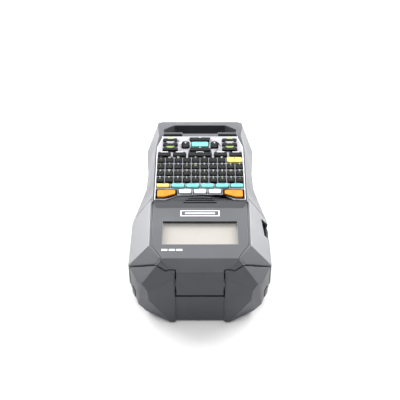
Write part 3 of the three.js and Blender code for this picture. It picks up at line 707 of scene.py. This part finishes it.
class KeypadOperator(bpy.types.Operator):
    """Build the keypad bezel, the moulded character keys and the separate key caps"""

    bl_idname = "labelmaker.keypad"
    bl_label = "Keypad"

    ROWS = ("1234567890", "QWERTYUIOP", "ASDFGHJKL'", "  ZXCVBNM.")
    SECOND = ("!?#%&*()-+", "<>[]{}/|=_", "~^:;,@$`\"\\", "  ..,:;+-=")

    def execute(self, context):
        keypad = context.scene.label_maker_keypad
        finishes = {
            # Each second colour is the key's wall colour: a darker copy of the key colour that paints in the
            # shade on the key walls.
            "key_rubber": key_rubber("dark_key_rubber", keypad.dark, (0.006, 0.006, 0.008)),
            "key_teal": key_rubber("teal_key_rubber", keypad.teal, (0.20, 0.64, 0.58)),
            "key_yellow": key_rubber("yellow_key_rubber", keypad.yellow, (0.76, 0.64, 0.16)),
            "key_orange": key_rubber("orange_key_rubber", keypad.orange, (0.80, 0.27, 0.02)),
            "key_white": key_rubber("white_key_rubber", keypad.white, (0.62, 0.62, 0.66)),
        }
        bezel = copy_of("keypad_bezel", "keypad_bezel_plate", [("y", row) for row in KEY_HOLE_ROWS])
        bevel_edges(bezel, self.hole_corner, 0.8 * MM, 3)
        round_over(bezel, 0.2 * MM, 2, 50.0)
        stands_for(bezel, "keypad_bezel", satin_plate("silver_plate", keypad.silver))
        self.mat(keypad, finishes["key_rubber"])
        slots = {row["node"]: row["material_slot"] for row in frame["record"]["subparts"]}
        for node in sorted(NODES):
            if node.endswith("_key") or "_menu_key_" in node:
                cap = copy_of(node, node + "_cap")
                key_shape(cap, keypad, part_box(node)[1].z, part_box(node)[0].z)
                stands_for(cap, node, finishes[slots[node]])
        return {"FINISHED"}

    @staticmethod
    def hole_corner(a, b):
        """True for the upright edges of the key holes."""
        return (a - b).xy.length < 1e-6 and max(a.y, b.y) < KEY_HOLES_END * MM

    def mat(self, keypad, rubber):
        """The mat: its character keys, the collars of the print keys and the sheet under them."""
        low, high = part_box("keypad_mat")
        keys = copy_of("keypad_mat", "character_keys")
        collars = copy_of("keypad_mat", "print_key_collars")
        key_shape(keys, keypad, high.z, low.z + 1.0 * MM)
        stands_for(keys, "keypad_mat", rubber)

        collar_top = BEZEL_TOP + 0.6 * MM
        only(collars)

        def not_on_top(centre, normal):
            return not (normal.z > 0.99 and abs(centre.z - collar_top) < 1e-5)

        select_faces(collars, not_on_top)
        bpy.ops.mesh.delete(type="FACE")
        bpy.ops.object.mode_set(mode="OBJECT")
        wall = collars.modifiers.new("wall", "SOLIDIFY")
        wall.thickness = collar_top - low.z - 1.2 * MM
        wall.offset = -1.0
        bpy.ops.object.modifier_apply(modifier=wall.name)
        round_over(collars, 0.22 * MM, 2, 40.0)
        self.also(collars, rubber)

        bpy.ops.object.select_all(action="DESELECT")
        middle = (low + high) / 2
        bpy.ops.mesh.primitive_grid_add(
            x_subdivisions=9, y_subdivisions=9, size=1, location=(0, middle.y, low.z + 1.0 * MM)
        )
        sheet = bpy.context.view_layer.objects.active
        sheet.name = "keypad_mat_sheet"
        sheet.scale = (high.x - low.x - 5 * MM, high.y - low.y - 9 * MM, 1)
        settle(sheet)
        wall = sheet.modifiers.new("wall", "SOLIDIFY")
        wall.thickness = 0.9 * MM
        wall.offset = -1.0
        bpy.ops.object.modifier_apply(modifier=wall.name)
        round_over(sheet, 0.2 * MM, 2, 40.0)
        self.also(sheet, rubber)

    def also(self, piece, rubber):
        set_material(piece, rubber)
        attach(piece, "casing")


class LegendOperator(bpy.types.Operator):
    """Print the letters, digits and signs on the keys"""

    bl_idname = "labelmaker.legends"
    bl_label = "Legends"

    def execute(self, context):
        keypad = context.scene.label_maker_keypad
        white = printed("white_ink", (0.85, 0.85, 0.85))
        green = printed("green_ink", (0.45, 0.72, 0.12))
        slate = printed("slate_ink", (0.05, 0.10, 0.11))
        rust = printed("rust_ink", (0.60, 0.11, 0.01))
        lift = keypad.crown + keypad.legend * 0.4
        z = KEY_TOP + lift
        letters, seconds = [], []
        for row in range(4):
            y = (FIRST_ROW_Y + (3 - row) * ROW_PITCH) * MM
            for column in range(10):
                first = KeypadOperator.ROWS[row][column]
                second = KeypadOperator.SECOND[row][column]
                if first == " ":
                    continue
                x = (column - 4.5) * COLUMN_PITCH * MM
                letters.append(sign(first, x, y - 1.0 * MM, z, 2.5 * MM, keypad.legend))
                seconds.append(sign(second, x, y + 1.25 * MM, z, 1.9 * MM, keypad.legend))
        self.lay(joined(letters, "character_letters"), white, "casing", "key_white")
        self.lay(joined(seconds, "character_second_signs"), green, "casing", "key_rubber")

        for node in sorted(NODES):
            if not (node.endswith("_key") or "_menu_key_" in node):
                continue
            low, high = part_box(node)
            x, y = (low.x + high.x) / 2, (low.y + high.y) / 2
            parts, ink = self.cap_sign(node, x, y, z, keypad.legend, white, slate, rust, green)
            self.lay(joined(parts, node + "_sign"), ink, node, None)
        return {"FINISHED"}

    def cap_sign(self, node, x, y, z, thick, white, slate, rust, green):
        """The parts of one key cap's sign, and its ink."""

        def bars(*spans):
            return [plate(x + dx * MM, y + dy * MM, z, w * MM, h * MM, thick) for dx, dy, w, h in spans]

        turns = {"up_key": 0, "down_key": 180, "left_key": 90, "right_key": -90}
        if node in turns:
            return [arrow(x, y, z, 0.95 * MM, turns[node], thick)], white
        if "print" in node:
            outer = ring(x, y + 0.2 * MM, z, 1.7 * MM, 0.16 * MM)
            return [outer, *bars((0, 0.2, 1.6, 0.35), (0, -2.3, 3.4, 0.35))], rust
        if node == "select_key":
            tip = arrow(x - 1.5 * MM, y, z, 0.7 * MM, 90, thick)
            return [tip, *bars((0.7, 0, 3.2, 0.4), (2.2, 0.6, 0.4, 1.5))], slate
        if node == "shift_key":
            tip = arrow(x, y + 0.5 * MM, z, 1.1 * MM, 0, thick)
            return [tip, *bars((0, -1.0, 0.8, 1.2))], slate
        if node == "backspace_key":
            tip = arrow(x - 1.6 * MM, y, z, 1.1 * MM, 90, thick)
            return [tip, *bars((0.6, 0, 3.0, 0.7))], slate
        if "menu" in node:
            return bars((0, -0.75, 7.4, 0.7), (0, 0.75, 5.2, 0.5)), (white if node[-1] == "2" else green)
        if node == "space_key":
            return bars((0, -0.5, 6.4, 0.5), (-3.0, 0, 0.5, 1.2), (3.0, 0, 0.5, 1.2)), white
        if y > 0:
            return [ring(x, y, z, 1.0 * MM, 0.12 * MM), *bars((2.4, 0, 1.6, 0.3))], slate
        if y > -0.01:
            return bars((0, -0.5, 5.6, 0.5), (0, 0.7, 3.6, 0.4)), slate
        return bars((0, -0.3, 6.6, 0.8)), white

    def lay(self, piece, ink, body, slot):
        set_material(piece, ink)
        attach(piece, body)


class DisplayOperator(bpy.types.Operator):
    """Build the display, its window and the plain marks on the deck"""

    bl_idname = "labelmaker.display"
    bl_label = "Display"

    def execute(self, context):
        window = copy_of("display_window", "display_window_pane")
        round_over(window, 0.15 * MM, 2)
        stands_for(window, "display_window", display_glass("window_glass"))
        set_material(NODES["display_module"], display_face("display_cream"))
        self.deck_mark()
        return {"FINISHED"}

    def deck_mark(self):
        """Plain printed marks: the outline of a label with a line on it, and three small bars."""
        thick = 0.07 * MM
        small_mark_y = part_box("display_window")[1].y / MM + SMALL_MARK_GAP
        outline = ((0, 3.7, 34, 1.0), (0, -3.7, 34, 1.0), (-16.5, 0, 1.0, 6.4), (16.5, 0, 1.0, 6.4))
        marks = (
            ("deck_mark", DECK_MARK_Y, (*outline, (0, 0, 26, 1.9))),
            ("deck_small_mark", small_mark_y, tuple((x, 0, 5.0, 2.2) for x in (17.0, 23.2, 29.4))),
        )
        ink = printed("deck_ink", (0.80, 0.80, 0.82))
        for name, at, bars in marks:
            mark = joined([plate(x * MM, y * MM, 0, w * MM, d * MM, thick) for x, y, w, d in bars], name)
            mark.rotation_euler.x = math.atan(DECK_RISE)
            height = (DECK_START[1] + (at - DECK_START[0]) * DECK_RISE) * MM
            mark.location = (0, at * MM, height + thick * 0.45)
            settle(mark)
            set_material(mark, ink)
            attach(mark, "casing")


class SidePartsOperator(bpy.types.Operator):
    """Finish the latches, the side sockets and the foot rails, and add the casing screws"""

    bl_idname = "labelmaker.side_parts"
    bl_label = "Latches, sockets and feet"

    def execute(self, context):
        casing = context.scene.label_maker_casing
        dark = textured_plastic("black_plastic", (0.02, 0.02, 0.023), 0.4, 0.4, 0.01)
        rubber = textured_plastic("matt_rubber", casing.rubber, 0.75, 0.7, 0.03)
        for node in ("door_latch_right", "door_latch_left", "power_socket"):
            piece = copy_of(node, node + "_moulding")
            round_over(piece, 0.3 * MM, 2)
            stands_for(piece, node, dark)
        for node in ("foot_rail_right", "foot_rail_left"):
            piece = copy_of(node, node + "_strip")
            round_over(piece, 0.3 * MM, 2)
            stands_for(piece, node, rubber)
        steel = machined_steel("screw_steel", (0.30, 0.30, 0.31))
        for number, (x, y) in enumerate(SCREWS):
            head = self.screw(x * MM, y * MM)
            head.name = head.data.name = f"casing_screw_{number + 1}"
            set_material(head, steel)
            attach(head, "casing")
        return {"FINISHED"}

    def screw(self, x, y):
        """A pan-head screw with a cross recess, deep in its counterbore and facing down."""
        head = tube(x, y, SCREW_HEIGHT * MM, SCREW_HEAD_RADIUS * MM, 0.9 * MM)
        round_over(head, 0.3 * MM, 2, 40.0)
        slots = []
        for turn in (0, 90):
            bpy.ops.mesh.primitive_cube_add(
                size=1, location=(x, y, 1.9 * MM), scale=(2.6 * MM, 0.6 * MM, 0.9 * MM)
            )
            slot = bpy.context.view_layer.objects.active
            slot.rotation_euler.z = math.radians(turn + 20)
            settle(slot)
            slots.append(slot)
        for slot in slots:
            carve(head, slot)
        return head


class InsideOperator(bpy.types.Operator):
    """Finish the print engine, the label cassette, the board and the battery"""

    bl_idname = "labelmaker.inside"
    bl_label = "Inside"

    def execute(self, context):
        steel = machined_steel("bright_steel")
        nylon = textured_plastic("natural_nylon", (0.66, 0.64, 0.58), 0.4, 0.6, 0.01)
        rubber = textured_plastic("platen_rubber", (0.03, 0.03, 0.033), 0.7, 0.3, 0.02)
        film = textured_plastic("ribbon_film", (0.015, 0.015, 0.018), 0.2, 0.5, 0.005)
        pack = textured_plastic("pack_plastic", (0.03, 0.034, 0.04), 0.45)
        finishes = {
            "door_hinge_pin": steel,
            "battery_contacts": steel,
            "engine_frame": steel,
            "stepper_motor": steel,
            "print_head": steel,
            "cutter_blade": steel,
            "cassette_case": nylon,
            "platen_gear": nylon,
            "idler_gear": nylon,
            "motor_pinion": nylon,
            "platen_roller": rubber,
            "label_roll": label_paper("label_stock"),
            "ribbon_supply_spool": film,
            "ribbon_take_up_spool": film,
            "main_board": circuit_board("green_board"),
            "battery_pack": pack,
        }
        for node, material in finishes.items():
            set_material(NODES[node], material)
        return {"FINISHED"}


class LabelMakerPanel(bpy.types.Panel):
    """Buttons and settings of the label maker"""

    bl_idname = "VIEW3D_PT_label_maker"
    bl_label = "Label maker"
    bl_space_type = "VIEW_3D"
    bl_region_type = "UI"
    bl_category = "Label maker"

    def draw(self, context):
        for group in (context.scene.label_maker_casing, context.scene.label_maker_keypad):
            for name in group.__annotations__:
                self.layout.prop(group, name)
        for operator in OPERATORS:
            self.layout.operator(operator.bl_idname)


SETTINGS = (CasingSettings, KeypadSettings)
OPERATORS = (
    StageOperator,
    CasingOperator,
    KeypadOperator,
    LegendOperator,
    DisplayOperator,
    SidePartsOperator,
    InsideOperator,
)


def register():
    for cls in (*SETTINGS, *OPERATORS, LabelMakerPanel):
        bpy.utils.register_class(cls)
    bpy.types.Scene.label_maker_casing = bpy.props.PointerProperty(type=CasingSettings)
    bpy.types.Scene.label_maker_keypad = bpy.props.PointerProperty(type=KeypadSettings)


def unregister():
    del bpy.types.Scene.label_maker_keypad
    del bpy.types.Scene.label_maker_casing
    for cls in reversed((*SETTINGS, *OPERATORS, LabelMakerPanel)):
        bpy.utils.unregister_class(cls)


def main():
    register()
    for operator in OPERATORS:
        group, name = operator.bl_idname.split(".")
        getattr(getattr(bpy.ops, group), name)()


if __name__ == "__main__":
    main()
